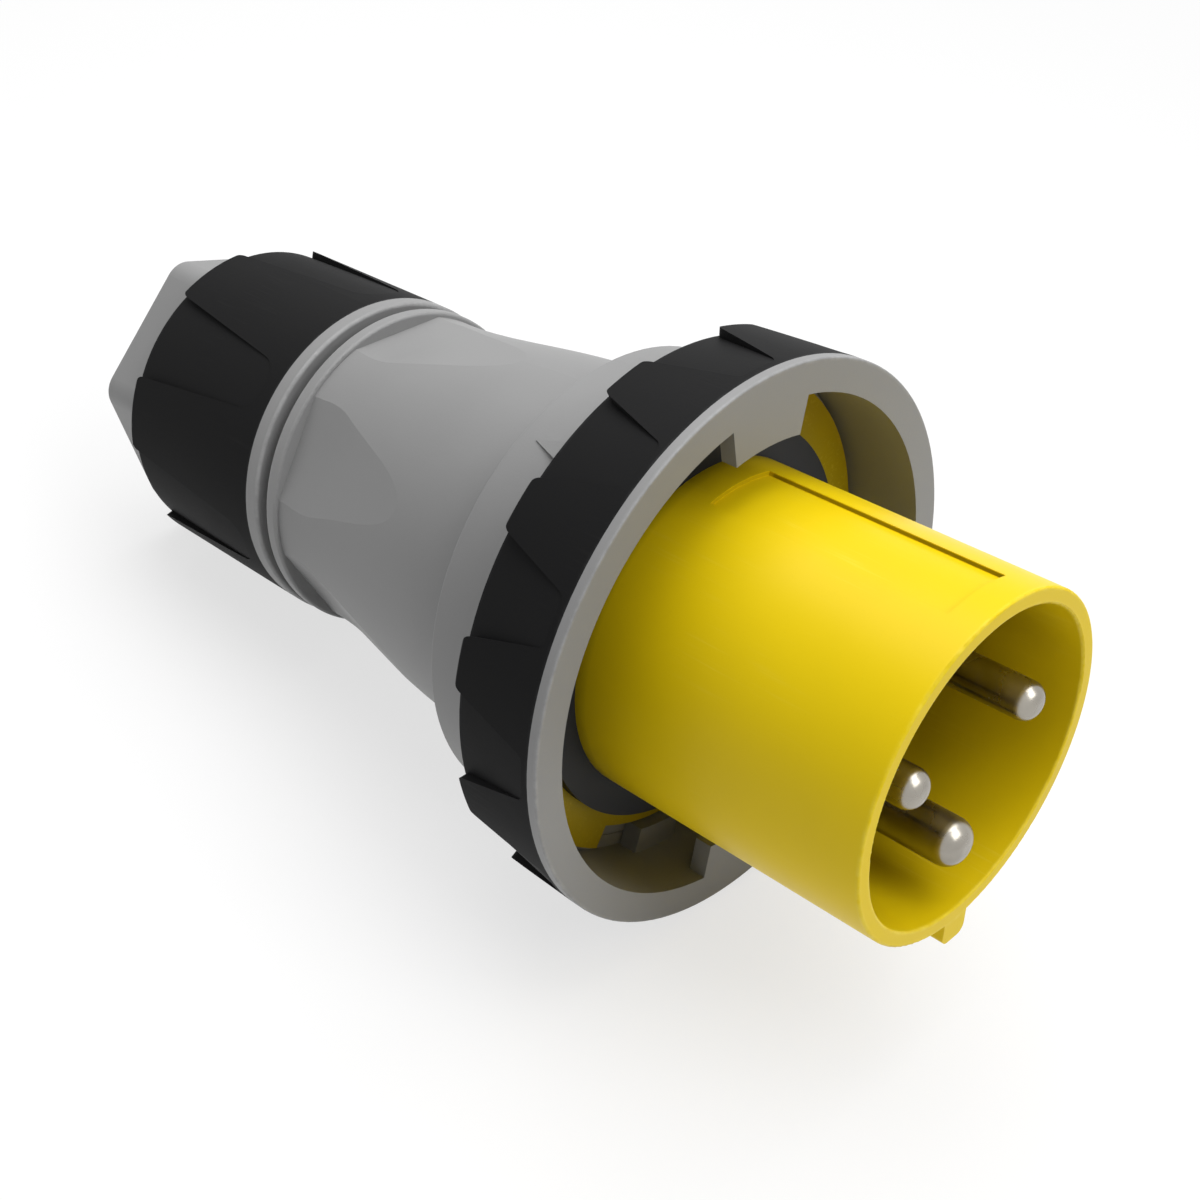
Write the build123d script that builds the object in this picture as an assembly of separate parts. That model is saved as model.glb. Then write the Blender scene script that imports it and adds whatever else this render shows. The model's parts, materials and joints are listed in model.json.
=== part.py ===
from build123d import *
import math
import os

# Industrial plug, two poles and earth, with a bayonet locking ring and a screwed cable gland.
# Everything is drawn about the X axis: x = 0 is the mouth of the shroud, the cable end lies at
# negative x, +Z is the top and the key is at the bottom. Millimetres and degrees.
# Angles about the axis are counted from the top towards +Y.
# At the end the plug is laid down as it rests, on its ring and on its gland nut.

# Shroud
SHROUD_R = 35.6
SHROUD_WALL = 3.3
SHROUD_LENGTH = 68.9
MOUTH_ROUND = 0.5
FLOOR_THICKNESS = 6.5
KEY_WIDTH = 7.0
KEY_HEIGHT = 5.0
KEY_LENGTH = 60.0
KEY_ROUND = 2.0
PANEL_ANGLE = 13.9
PANEL_FROM_MOUTH = 6.5
PANEL_LENGTH = 52.0
PANEL_DEPTH = 0.9

# Flange and spigot of the shroud
GASKET_WIDTH = 6.8
GASKET_THICKNESS = 2.6
FLANGE_WIDTH = 15.7
FLANGE_THICKNESS = 2.5
NOTCH_DEPTH = 5.2
NOTCH_HALF_ANGLE = 30.5
SPIGOT_INSET = 8.2
SPIGOT_WALL = 3.0
SPIGOT_LENGTH = 12.6
SEAL_SECTION_R = 1.05
SEAL_FROM_FLANGE = 7.5

# Pins and their terminals
PIN_CIRCLE_R = 18.6
PIN_ANGLE = 75.0
EARTH_ANGLE = 180.0
LINE_PIN_R = 4.0
EARTH_PIN_R = 5.0
PIN_FROM_MOUTH = 0.2
DOME_SHARE = 0.8
PIN_SEAT_STEP = 0.5
PIN_RELIEF_DEPTH = 0.3
PIN_RELIEF_LENGTH = 1.5
COLLAR_STEP = 1.5
COLLAR_THICKNESS = 3.0
LINE_TERMINAL_R = 6.0
EARTH_TERMINAL_R = 6.6
TERMINAL_LENGTH = 28.0
WIRE_HOLE_R = 3.4
WIRE_HOLE_DEPTH = 22.0
CLAMP_SCREW_R = 2.4
CLAMP_SCREW_PROUD = 0.4
CLAMP_SCREW_PLACES = (10.0, 20.0)
SLOT_WIDTH = 0.9
SLOT_DEPTH = 1.0

# Contact carrier
CARRIER_GAP = 1.0
CARRIER_PLATE = 7.0
SLEEVE_WALL = 2.2
SLEEVE_GAP = 0.15
CARRIER_SCREW_INSET = 8.5
CARRIER_SCREW_ANGLES = (0.0, 127.0, -127.0)
CARRIER_SCREW_R = 1.5
CARRIER_SCREW_BITE = 4.0
CARRIER_HEAD_R = 3.0
CARRIER_HEAD_HEIGHT = 2.2

# Screws through the flange
FLANGE_SCREW_INSET = 4.7
FLANGE_SCREW_ANGLES = (0.0, 100.0, -100.0)
FLANGE_SCREW_R = 1.5
FLANGE_SCREW_LENGTH = 14.0
FLANGE_HEAD_R = 3.0
FLANGE_HEAD_HEIGHT = 1.6

# Housing
HOUSING_FLANGE_INSET = 1.6
HOUSING_FLANGE_LENGTH = 19.6
HOUSING_EDGE_ROUND = 0.4
SHOULDER_STEP = 1.4
SHOULDER_LENGTH = 4.15
BARREL_STEP = 7.9
BARREL_BLEND = 3.0
BARREL_WALL = 3.3
BARREL_LENGTH = 64.3
BARREL_MID_FROM_FLANGE = 22.0
BARREL_MID_STEP = 0.9
WAIST_FROM_NECK = 14.3
WAIST_STEP = 4.9
NECK_LAND_STEP = 5.8
FACET_COUNT = 6
FACET_STEP = 7.8
FACET_FLAT_LENGTH = 8.0
FACET_BEND_R = 40.0
FACET_SLOPE = 0.21
FACET_LENGTH = 51.3
NECK_COLLAR_PROUD = 1.1
NECK_COLLAR_LENGTH = 3.2
COLLAR_ROUND = 0.7
ROUND_SHARE = 0.8
THREAD_STEP = 7.0
THREAD_LENGTH = 23.5
NECK_WALL = 3.3
LEDGE_WIDTH = 4.3
LEDGE_THICKNESS = 2.5
LEDGE_FROM_COLLAR = 1.5
MARK_ANGLE = -30.3
MARK_FROM_REAR = 12.0
MARK_LENGTH = 8.0
MARK_WIDTH = 4.8
MARK_HEIGHT = 1.1

# Locking ring
RING_FROM_FLANGE = 16.3
RING_RIM = 2.1
RING_BEHIND_FLANGE = 3.6
RING_BORE_GAP = 1.6
RING_REAR_WALL = 1.8
RING_FRONT_WALL = 3.8
RING_RIM_STEP = 2.9
RING_EDGE_ROUND = 0.4
LUG_COUNT = 2
LUG_REACH = 7.7
LUG_HALF_ANGLE = 11.45
LUG_THICKNESS = 4.0
LUG_RAMP_ANGLE = 3.0
STOP_NOTCH_GAP = 1.0
STOP_LENGTH = 4.3
STOP_FROM_ANGLE = -176.0
STOP_TO_ANGLE = -162.0

# Soft grip of the ring
RING_GRIP_REAR_WALL = 2.3
RING_RIB_DROP = 0.5
RING_RIB_COUNT = 12
RING_GAP_TURN = 0.0
RING_GAP_FROM_RIM = 1.5
RING_GAP_FRONT_WIDTH = 9.8
RING_GAP_REAR_WIDTH = 20.8
RING_GAP_ROUND = 2.0

# Gland nut
NUT_FROM_COLLAR = 2.8
NUT_RIM = 3.6
NUT_PROUD = 0.35
NUT_EDGE_ROUND = 0.8
NUT_RIM_STEP = 3.05
NUT_CORE_TAPER = 0.6
NUT_CORE_LENGTH = 48.0
HEX_LENGTH = 15.0
NUT_TURN = -16.3
HEX_STEP = 0.2
HEX_CORNER_ROUND = 6.0
HEX_EDGE_CHAMFER = 0.5
CABLE_MOUTH_ROUND = 2.5
THREAD_ROOM = 5.0
CONE_STEP = 2.8
CONE_TAPER = 4.5
CONE_FROM_REAR = 18.0
CABLE_HOLE_STEP = 4.5

# Soft grip of the nut
NUT_GRIP_REAR_WALL = 1.8
NUT_RIB_DROP = 0.2
NUT_RIB_COUNT = 6
NUT_GAP_FROM_RIM = 3.9
NUT_GAP_FRONT_WIDTH = 11.4
NUT_GAP_REAR_WIDTH = 21.4
NUT_GAP_ROUND = 5.2

# Ribs of both grips
RIB_CORNER_ROUND = 2.5
RIB_EDGE_ROUND = 0.9

# Cable seal, clamp cage and slip ring
SEAL_LENGTH = 16.0
SEAL_REAR_WALL = 13.5
SEAL_FRONT_WALL = 11.5
SEAL_GROOVE_STEPS = (3.6, 7.2, 10.6)
SEAL_GROOVE_WIDTH = 0.9
SEAL_GROOVE_DEPTH = 5.0
CAGE_FLANGE_GAP = 0.7
CAGE_FLANGE_THICKNESS = 3.0
CAGE_BORE_GAP = 0.5
FINGER_COUNT = 12
FINGER_SLOT = 2.2
FINGER_FROM_CONE = 3.0
SLIP_LENGTH = 13.5
SLIP_FROM_CONE = 2.5
SLIP_WALL = 2.0

# Clearances; the thread gap holds the ridges of both threads, which the solids leave out
# OVERCUT and WELD: how far a cut reaches past a face, and a joined form into its neighbour
RUNNING_GAP = 0.35
THREAD_GAP = 1.2
FACE_GAP = 0.2
FIT_GAP = 0.3
SCREW_GAP = 0.2
OVERCUT = 1.0
WELD = 0.2

# Places along the axis that follow from the sizes above
FLANGE_FRONT_X = -SHROUD_LENGTH
FLANGE_REAR_X = FLANGE_FRONT_X - FLANGE_THICKNESS
FLOOR_X = FLANGE_REAR_X + FLOOR_THICKNESS
PANEL_FRONT_X = -PANEL_FROM_MOUTH
PANEL_REAR_X = PANEL_FRONT_X - PANEL_LENGTH
PIN_TIP_X = -PIN_FROM_MOUTH
GASKET_FRONT_X = FLANGE_FRONT_X + GASKET_THICKNESS
SPIGOT_REAR_X = FLANGE_REAR_X - SPIGOT_LENGTH
COLLAR_REAR_FACE_X = FLANGE_REAR_X - COLLAR_THICKNESS
TERMINAL_END_X = COLLAR_REAR_FACE_X - TERMINAL_LENGTH
CARRIER_REAR_X = FLANGE_REAR_X - CARRIER_PLATE
RING_FRONT_X = FLANGE_FRONT_X + RING_FROM_FLANGE
RING_REAR_X = FLANGE_REAR_X - RING_BEHIND_FLANGE
RING_GRIP_FRONT_X = RING_FRONT_X - RING_RIM
RING_GAP_FRONT_X = RING_GRIP_FRONT_X - RING_GAP_FROM_RIM
LIP_FRONT_X = FLANGE_REAR_X - FACE_GAP
HOUSING_BORE_END_X = SPIGOT_REAR_X - 2 * FIT_GAP
SHOULDER_X = RING_REAR_X - RUNNING_GAP
SHOULDER_RUNOUT_X = SHOULDER_X - SHOULDER_LENGTH
HOUSING_FLANGE_REAR_X = FLANGE_REAR_X - HOUSING_FLANGE_LENGTH
MARK_FRONT_X = HOUSING_FLANGE_REAR_X + MARK_FROM_REAR
MARK_TIP_X = MARK_FRONT_X - MARK_LENGTH
BARREL_MID_X = HOUSING_FLANGE_REAR_X - BARREL_MID_FROM_FLANGE
NECK_FRONT_X = HOUSING_FLANGE_REAR_X - BARREL_LENGTH
WAIST_X = NECK_FRONT_X + WAIST_FROM_NECK
FACET_BEND_X = NECK_FRONT_X + FACET_FLAT_LENGTH
FACET_END_X = NECK_FRONT_X + FACET_LENGTH
COLLAR_REAR_X = NECK_FRONT_X - NECK_COLLAR_LENGTH
LEDGE_REAR_X = COLLAR_REAR_X - LEDGE_FROM_COLLAR
THREAD_END_X = COLLAR_REAR_X - THREAD_LENGTH
NUT_FRONT_X = COLLAR_REAR_X - NUT_FROM_COLLAR
NUT_GRIP_FRONT_X = NUT_FRONT_X - NUT_RIM
NUT_GAP_FRONT_X = NUT_GRIP_FRONT_X - NUT_GAP_FROM_RIM
NUT_CORE_REAR_X = NUT_FRONT_X - NUT_CORE_LENGTH
NUT_REAR_X = NUT_CORE_REAR_X - HEX_LENGTH
NUT_BORE_END_X = THREAD_END_X - THREAD_ROOM
CONE_REAR_X = NUT_REAR_X + CONE_FROM_REAR
SEAL_REAR_X = LEDGE_REAR_X - SEAL_LENGTH
CAGE_FLANGE_X = THREAD_END_X - FACE_GAP
FINGER_END_X = CONE_REAR_X + FINGER_FROM_CONE
SLIP_REAR_X = CONE_REAR_X + SLIP_FROM_CONE
SLIP_FRONT_X = SLIP_REAR_X + SLIP_LENGTH

# Radii that follow from the sizes above
SHROUD_BORE_R = SHROUD_R - SHROUD_WALL
KEY_R = SHROUD_R + KEY_HEIGHT
GASKET_R = SHROUD_R + GASKET_WIDTH
FLANGE_R = SHROUD_R + FLANGE_WIDTH
NOTCH_R = FLANGE_R - NOTCH_DEPTH
SPIGOT_R = FLANGE_R - SPIGOT_INSET
FLANGE_SCREW_CIRCLE_R = FLANGE_R - FLANGE_SCREW_INSET
HOUSING_FLANGE_R = FLANGE_R - HOUSING_FLANGE_INSET
HOUSING_BORE_R = SPIGOT_R + FIT_GAP
BARREL_FRONT_R = HOUSING_FLANGE_R - BARREL_STEP
BARREL_MID_R = BARREL_FRONT_R - BARREL_MID_STEP
WAIST_R = BARREL_FRONT_R - WAIST_STEP
NECK_LAND_R = BARREL_FRONT_R - NECK_LAND_STEP
FACET_R = BARREL_FRONT_R - FACET_STEP
NECK_ROOT_R = FACET_R - BARREL_WALL
COLLAR_R = NECK_LAND_R + NECK_COLLAR_PROUD
THREAD_R = COLLAR_R - THREAD_STEP
NECK_BORE_R = THREAD_R - NECK_WALL
LEDGE_R = NECK_BORE_R - LEDGE_WIDTH
SEAL_R = NECK_BORE_R - FIT_GAP
SEAL_REAR_BORE_R = SEAL_R - SEAL_REAR_WALL
SEAL_FRONT_BORE_R = SEAL_R - SEAL_FRONT_WALL
CARRIER_R = BARREL_FRONT_R - BARREL_WALL - CARRIER_GAP
CARRIER_SCREW_CIRCLE_R = CARRIER_R - CARRIER_SCREW_INSET
RING_BORE_R = FLANGE_R + RING_BORE_GAP
RING_CORE_REAR_R = RING_BORE_R + RING_REAR_WALL
RING_CORE_FRONT_R = RING_BORE_R + RING_FRONT_WALL
RING_R = RING_CORE_FRONT_R + RING_RIM_STEP
RING_GRIP_REAR_R = RING_CORE_REAR_R + RING_GRIP_REAR_WALL
RING_RIB_R = RING_R - RING_RIB_DROP
LIP_R = HOUSING_FLANGE_R + RUNNING_GAP
LUG_R = RING_BORE_R - LUG_REACH
STOP_R = NOTCH_R + STOP_NOTCH_GAP
NUT_R = COLLAR_R + NUT_PROUD
NUT_CORE_FRONT_R = NUT_R - NUT_RIM_STEP
NUT_CORE_REAR_R = NUT_CORE_FRONT_R - NUT_CORE_TAPER
HEX_CORNER_R = NUT_CORE_REAR_R - HEX_STEP
HEX_COS = math.cos(math.radians(30))
HEX_FLATS_R = HEX_CORNER_R * HEX_COS + HEX_CORNER_ROUND * (1 - HEX_COS)
NUT_GRIP_REAR_R = NUT_CORE_REAR_R + NUT_GRIP_REAR_WALL
NUT_RIB_R = NUT_R - NUT_RIB_DROP
NUT_BORE_R = THREAD_R + THREAD_GAP
CONE_FRONT_R = NUT_BORE_R - CONE_STEP
CONE_REAR_R = CONE_FRONT_R - CONE_TAPER
CAGE_FLANGE_R = NUT_BORE_R - CAGE_FLANGE_GAP
CABLE_HOLE_R = CONE_REAR_R - CABLE_HOLE_STEP
CAGE_BORE_R = CABLE_HOLE_R + CAGE_BORE_GAP


# Helpers for outlines and turned shapes
def outline(points, rounds=()):
    """Closed flat outline; each round is a corner point and its radius."""
    face = make_face(Polyline(*points, close=True))
    for corner, radius in rounds:
        face = fillet(face.vertices().sort_by_distance(corner)[0], radius)
    return face


def turned(points, rounds=()):
    """Shape turned about the plug's axis from an outline of (x, radius) points."""
    return revolve(Plane.XZ * outline(points, rounds), Axis.X)


def tube(front_x, rear_x, inner_r, outer_r):
    """Plain ring between two places on the axis."""
    return turned([(front_x, inner_r), (front_x, outer_r), (rear_x, outer_r), (rear_x, inner_r)])


def around(shape, angle):
    """The shape turned about the plug's axis, from the top towards +Y."""
    return Rot(X=-angle) * shape


def sector(front_x, rear_x, inner_r, outer_r, from_angle, to_angle):
    """Part of a ring between two angles about the axis."""
    corners = [(front_x, inner_r), (front_x, outer_r), (rear_x, outer_r), (rear_x, inner_r)]
    sweep = revolve(Plane.XZ * outline(corners), Axis.X, to_angle - from_angle)
    return around(sweep, to_angle)


def rod(front_x, rear_x, radius, height=0.0):
    """Round bar along the axis, with its centre at a height above it."""
    length = front_x - rear_x
    return Pos(rear_x + length / 2, 0, height) * Rot(Y=90) * Cylinder(radius, length)


def side_profile(points, half_width, rounds=()):
    """Prism across the plug whose side view is the outline of (x, z) points."""
    return extrude(Plane.XZ * outline(points, rounds), half_width, both=True)


def group(solids):
    """Separate solids kept together as one node."""
    return Compound(list(solids))


# Shroud with key, recessed panel, flange, floor and spigot
def make_front_shroud():
    body = turned(
        [
            (FLOOR_X, 0),
            (FLOOR_X, SHROUD_BORE_R),
            (0, SHROUD_BORE_R),
            (0, SHROUD_R),
            (FLANGE_FRONT_X, SHROUD_R),
            (FLANGE_FRONT_X, FLANGE_R),
            (FLANGE_REAR_X, FLANGE_R),
            (FLANGE_REAR_X, SPIGOT_R),
            (SPIGOT_REAR_X, SPIGOT_R),
            (SPIGOT_REAR_X, SPIGOT_R - SPIGOT_WALL),
            (FLANGE_REAR_X, SPIGOT_R - SPIGOT_WALL),
            (FLANGE_REAR_X, 0),
        ],
        [((0, SHROUD_R), MOUTH_ROUND), ((0, SHROUD_BORE_R), MOUTH_ROUND)],
    )
    body += shroud_key()
    body -= shroud_panel()
    body -= flange_notch()
    body -= seal_groove()
    for angle, pin_r, terminal_r in pin_places():
        seat_r = pin_r + PIN_SEAT_STEP
        body -= around(rod(0, FLANGE_REAR_X - WELD, seat_r, PIN_CIRCLE_R), angle)
    for angle in CARRIER_SCREW_ANGLES:
        hole = rod(FLANGE_REAR_X + CARRIER_SCREW_BITE, FLANGE_REAR_X - WELD, CARRIER_SCREW_R,
                   CARRIER_SCREW_CIRCLE_R)
        body -= around(hole, angle)
    for angle in FLANGE_SCREW_ANGLES:
        hole = rod(FLANGE_FRONT_X, FLANGE_REAR_X, FLANGE_SCREW_R + SCREW_GAP)
        hole += screw_cone(FLANGE_FRONT_X, FLANGE_HEAD_R, FLANGE_SCREW_R, FLANGE_HEAD_HEIGHT)
        body -= around(Pos(0, 0, FLANGE_SCREW_CIRCLE_R) * hole, angle)
    return body


def shroud_key():
    height = KEY_R - SHROUD_R + SHROUD_WALL / 2
    bar = Box(KEY_LENGTH, KEY_WIDTH, height)
    corner_round = min(KEY_ROUND, ROUND_SHARE * KEY_WIDTH / 2)
    bar = fillet(bar.edges().filter_by(Axis.X).group_by(Axis.Z)[-1], corner_round)
    return around(Pos(-KEY_LENGTH / 2, 0, KEY_R - height / 2) * bar, EARTH_ANGLE)


def shroud_panel():
    return sector(PANEL_FRONT_X, PANEL_REAR_X, SHROUD_R - PANEL_DEPTH, SHROUD_R + OVERCUT,
                  -PANEL_ANGLE, PANEL_ANGLE)


def flange_notch():
    return sector(FLANGE_FRONT_X + OVERCUT, FLANGE_REAR_X - OVERCUT, NOTCH_R, FLANGE_R + OVERCUT,
                  EARTH_ANGLE - NOTCH_HALF_ANGLE, EARTH_ANGLE + NOTCH_HALF_ANGLE)


def seal_groove():
    centre_x = FLANGE_REAR_X - SEAL_FROM_FLANGE
    half = SEAL_SECTION_R + FACE_GAP
    floor_r = HOUSING_BORE_R - 2 * SEAL_SECTION_R
    return tube(centre_x + half, centre_x - half, floor_r, SPIGOT_R + OVERCUT)


def screw_cone(front_x, head_r, shank_r, height):
    return turned([(front_x, 0), (front_x, head_r), (front_x - height, shank_r), (front_x - height, 0)])


def pin_places():
    """Angle, pin radius and terminal radius of each pin."""
    return (
        (PIN_ANGLE, LINE_PIN_R, LINE_TERMINAL_R),
        (-PIN_ANGLE, LINE_PIN_R, LINE_TERMINAL_R),
        (EARTH_ANGLE, EARTH_PIN_R, EARTH_TERMINAL_R),
    )


# Turned pins with a domed end, a relief before the thicker seat, a collar and a wire terminal
def make_pin(angle, pin_r, terminal_r):
    seat_r = pin_r + PIN_SEAT_STEP
    relief_r = pin_r - PIN_RELIEF_DEPTH
    collar_r = terminal_r + COLLAR_STEP
    pin = turned(
        [
            (PIN_TIP_X, 0),
            (PIN_TIP_X, pin_r),
            (FLOOR_X + PIN_RELIEF_LENGTH, pin_r),
            (FLOOR_X + PIN_RELIEF_LENGTH, relief_r),
            (FLOOR_X, relief_r),
            (FLOOR_X, seat_r),
            (FLANGE_REAR_X, seat_r),
            (FLANGE_REAR_X, collar_r),
            (COLLAR_REAR_FACE_X, collar_r),
            (COLLAR_REAR_FACE_X, terminal_r),
            (TERMINAL_END_X, terminal_r),
            (TERMINAL_END_X, WIRE_HOLE_R),
            (TERMINAL_END_X + WIRE_HOLE_DEPTH, WIRE_HOLE_R),
            (TERMINAL_END_X + WIRE_HOLE_DEPTH, 0),
        ],
        [((PIN_TIP_X, pin_r), DOME_SHARE * pin_r)],
    )
    for place in CLAMP_SCREW_PLACES:
        pin -= Pos(COLLAR_REAR_FACE_X - place, 0, terminal_r / 2) * Cylinder(CLAMP_SCREW_R, terminal_r)
    return around(Pos(0, 0, PIN_CIRCLE_R) * pin, angle)


def make_terminal_screws(angle, terminal_r):
    screws = []
    for place in CLAMP_SCREW_PLACES:
        length = terminal_r - WIRE_HOLE_R / 2 + CLAMP_SCREW_PROUD
        top = terminal_r + CLAMP_SCREW_PROUD
        screw = Pos(0, 0, top - length / 2) * Cylinder(CLAMP_SCREW_R, length)
        screw -= Pos(0, 0, top) * Box(3 * CLAMP_SCREW_R, SLOT_WIDTH, 2 * SLOT_DEPTH)
        screws.append(around(Pos(COLLAR_REAR_FACE_X - place, 0, PIN_CIRCLE_R) * screw, angle))
    return group(screws)


# Carrier that traps the collars of the pins and shields the terminals
def make_contact_carrier():
    body = tube(FLANGE_REAR_X, CARRIER_REAR_X, 0, CARRIER_R)
    for angle, pin_r, terminal_r in pin_places():
        sleeve_r = terminal_r + SLEEVE_GAP + SLEEVE_WALL
        body += around(rod(FLANGE_REAR_X - COLLAR_THICKNESS, TERMINAL_END_X, sleeve_r, PIN_CIRCLE_R), angle)
    for angle, pin_r, terminal_r in pin_places():
        front_x = FLANGE_REAR_X + OVERCUT
        bore = rod(front_x, TERMINAL_END_X - OVERCUT, terminal_r + SLEEVE_GAP, PIN_CIRCLE_R)
        bore += rod(front_x, COLLAR_REAR_FACE_X, terminal_r + COLLAR_STEP, PIN_CIRCLE_R)
        for place in CLAMP_SCREW_PLACES:
            window = Cylinder(CLAMP_SCREW_R + SCREW_GAP, 2 * terminal_r)
            bore += Pos(COLLAR_REAR_FACE_X - place, 0, PIN_CIRCLE_R + 1.5 * terminal_r) * window
        body -= around(bore, angle)
    for angle in CARRIER_SCREW_ANGLES:
        hole = rod(FLANGE_REAR_X + OVERCUT, CARRIER_REAR_X - OVERCUT, CARRIER_SCREW_R + SCREW_GAP,
                   CARRIER_SCREW_CIRCLE_R)
        body -= around(hole, angle)
    return body


def make_carrier_screws():
    screws = []
    for angle in CARRIER_SCREW_ANGLES:
        head_end_x = CARRIER_REAR_X - CARRIER_HEAD_HEIGHT
        screw = rod(FLANGE_REAR_X + CARRIER_SCREW_BITE, CARRIER_REAR_X, CARRIER_SCREW_R)
        screw += rod(CARRIER_REAR_X, head_end_x, CARRIER_HEAD_R)
        screw -= Pos(head_end_x, 0, 0) * Box(2 * SLOT_DEPTH, SLOT_WIDTH, 3 * CARRIER_HEAD_R)
        screws.append(around(Pos(0, 0, CARRIER_SCREW_CIRCLE_R) * screw, angle))
    return group(screws)


def make_flange_screws():
    screws = []
    for angle in FLANGE_SCREW_ANGLES:
        screw = screw_cone(FLANGE_FRONT_X, FLANGE_HEAD_R, FLANGE_SCREW_R, FLANGE_HEAD_HEIGHT)
        screw += rod(FLANGE_FRONT_X, FLANGE_FRONT_X - FLANGE_SCREW_LENGTH, FLANGE_SCREW_R)
        screw -= Pos(FLANGE_FRONT_X, 0, 0) * Box(2 * SLOT_DEPTH, SLOT_WIDTH, 3 * FLANGE_HEAD_R)
        screws.append(around(Pos(0, 0, FLANGE_SCREW_CIRCLE_R) * screw, angle))
    return group(screws)


# Seals of the front end
def make_face_gasket():
    return tube(GASKET_FRONT_X, FLANGE_FRONT_X, SHROUD_R, GASKET_R)


def make_flange_seal():
    ring = Torus(HOUSING_BORE_R - SEAL_SECTION_R, SEAL_SECTION_R)
    return Pos(FLANGE_REAR_X - SEAL_FROM_FLANGE, 0, 0) * Rot(Y=90) * ring


# Housing: flange and barrel that narrows to six facets; its threaded neck is drawn apart
def make_housing():
    body = revolve(Plane.XZ * housing_section(), Axis.X)
    for index in range(FACET_COUNT):
        body -= around(neck_facet(), index * 360 / FACET_COUNT)
    for angle in FLANGE_SCREW_ANGLES:
        hole_end_x = FLANGE_FRONT_X - FLANGE_SCREW_LENGTH
        hole = rod(FLANGE_REAR_X + OVERCUT, hole_end_x, FLANGE_SCREW_R, FLANGE_SCREW_CIRCLE_R)
        body -= around(hole, angle)
    body += position_mark()
    return body


def housing_section():
    """Half section of the flange and the barrel, as (x, radius)."""
    barrel_front_x = HOUSING_FLANGE_REAR_X - BARREL_BLEND
    edge_r = HOUSING_FLANGE_R - HOUSING_EDGE_ROUND
    front = Polyline(
        (HOUSING_BORE_END_X, BARREL_FRONT_R - BARREL_WALL),
        (HOUSING_BORE_END_X, HOUSING_BORE_R),
        (FLANGE_REAR_X, HOUSING_BORE_R),
        (FLANGE_REAR_X, HOUSING_FLANGE_R),
        (SHOULDER_X, HOUSING_FLANGE_R),
        (SHOULDER_X, HOUSING_FLANGE_R + SHOULDER_STEP),
        (SHOULDER_RUNOUT_X, HOUSING_FLANGE_R),
        (HOUSING_FLANGE_REAR_X + HOUSING_EDGE_ROUND, HOUSING_FLANGE_R),
    )
    flange_edge = RadiusArc(front @ 1, (HOUSING_FLANGE_REAR_X, edge_r), -HOUSING_EDGE_ROUND)
    rear_face = Line(flange_edge @ 1, (HOUSING_FLANGE_REAR_X, BARREL_FRONT_R + BARREL_BLEND))
    blend = RadiusArc(rear_face @ 1, (barrel_front_x, BARREL_FRONT_R), BARREL_BLEND)
    barrel = Spline(
        blend @ 1, (BARREL_MID_X, BARREL_MID_R), (WAIST_X, WAIST_R), (NECK_FRONT_X, NECK_LAND_R)
    )
    rear = Line(barrel @ 1, (NECK_FRONT_X, NECK_ROOT_R))
    inside = Spline(
        rear @ 1, (WAIST_X, WAIST_R - BARREL_WALL), (BARREL_MID_X, BARREL_MID_R - BARREL_WALL), front @ 0
    )
    return make_face(front + flange_edge + rear_face + blend + barrel + rear + inside)


def make_housing_neck():
    """Collar, ledge for the cable seal and neck for the gland nut."""
    front_round = min(COLLAR_ROUND, ROUND_SHARE * NECK_COLLAR_PROUD)
    return turned(
        [
            (NECK_FRONT_X, NECK_ROOT_R),
            (NECK_FRONT_X, COLLAR_R),
            (COLLAR_REAR_X, COLLAR_R),
            (COLLAR_REAR_X, THREAD_R),
            (THREAD_END_X, THREAD_R),
            (THREAD_END_X, NECK_BORE_R),
            (LEDGE_REAR_X, NECK_BORE_R),
            (LEDGE_REAR_X, LEDGE_R),
            (LEDGE_REAR_X + LEDGE_THICKNESS, LEDGE_R),
        ],
        [((NECK_FRONT_X, COLLAR_R), front_round), ((COLLAR_REAR_X, COLLAR_R), COLLAR_ROUND)],
    )


def neck_facet():
    rise = FACET_SLOPE * (FACET_END_X - FACET_BEND_X)
    return side_profile(
        [
            (NECK_FRONT_X, FACET_R),
            (FACET_BEND_X, FACET_R),
            (FACET_END_X, FACET_R + rise),
            (FACET_END_X, 2 * FACET_R),
            (NECK_FRONT_X, 2 * FACET_R),
        ],
        FACET_R,
        [((FACET_BEND_X, FACET_R), FACET_BEND_R)],
    )


def position_mark():
    """Small pointed rib behind the ring."""
    half = MARK_WIDTH / 2
    plan = outline([(MARK_TIP_X, 0), (MARK_FRONT_X, half), (MARK_FRONT_X, -half)])
    root_r = HOUSING_FLANGE_R - OVERCUT
    prism = extrude(Pos(0, 0, root_r) * plan, MARK_HEIGHT + OVERCUT)
    slope = side_profile(
        [
            (MARK_TIP_X, root_r - OVERCUT),
            (MARK_TIP_X, HOUSING_FLANGE_R + WELD),
            (MARK_FRONT_X, HOUSING_FLANGE_R + MARK_HEIGHT),
            (MARK_FRONT_X, root_r - OVERCUT),
        ],
        MARK_WIDTH,
    )
    return around(prism & slope, MARK_ANGLE)


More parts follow.
